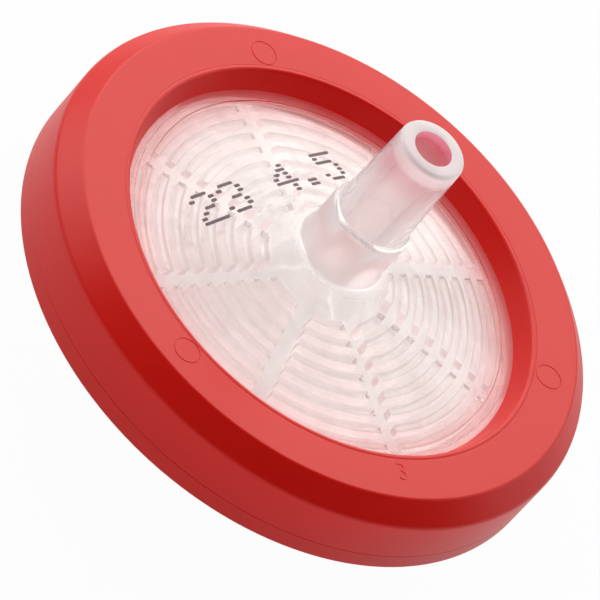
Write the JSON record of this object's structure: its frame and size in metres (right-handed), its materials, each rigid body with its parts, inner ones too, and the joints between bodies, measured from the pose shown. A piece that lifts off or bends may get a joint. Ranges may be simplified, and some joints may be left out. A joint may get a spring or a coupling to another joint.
{
  "type": "syringe filter",
  "caption": "Round syringe filter with a red moulded ring, clear ribbed housing, male luer outlet and female luer lock inlet.",
  "frame": {"origin": "centre of the inlet socket's open end, where the filter stands", "axes": "+Z along the flow axis towards the outlet tip, +X along one radial drain channel"},
  "size_m": [0.0336, 0.0336, 0.0219],
  "materials": {
    "clear_plastic": "satin, translucent natural polypropylene",
    "membrane": "matt white porous sheet",
    "ring_plastic": "satin red polypropylene",
    "print_ink": "matt dark ink-jet print"
  },
  "bodies": {
    "root": {"inlet_housing": "clear_plastic", "membrane": "membrane", "outlet_housing": "clear_plastic", "overmould_ring": "ring_plastic"}
  },
  "joints": []
}
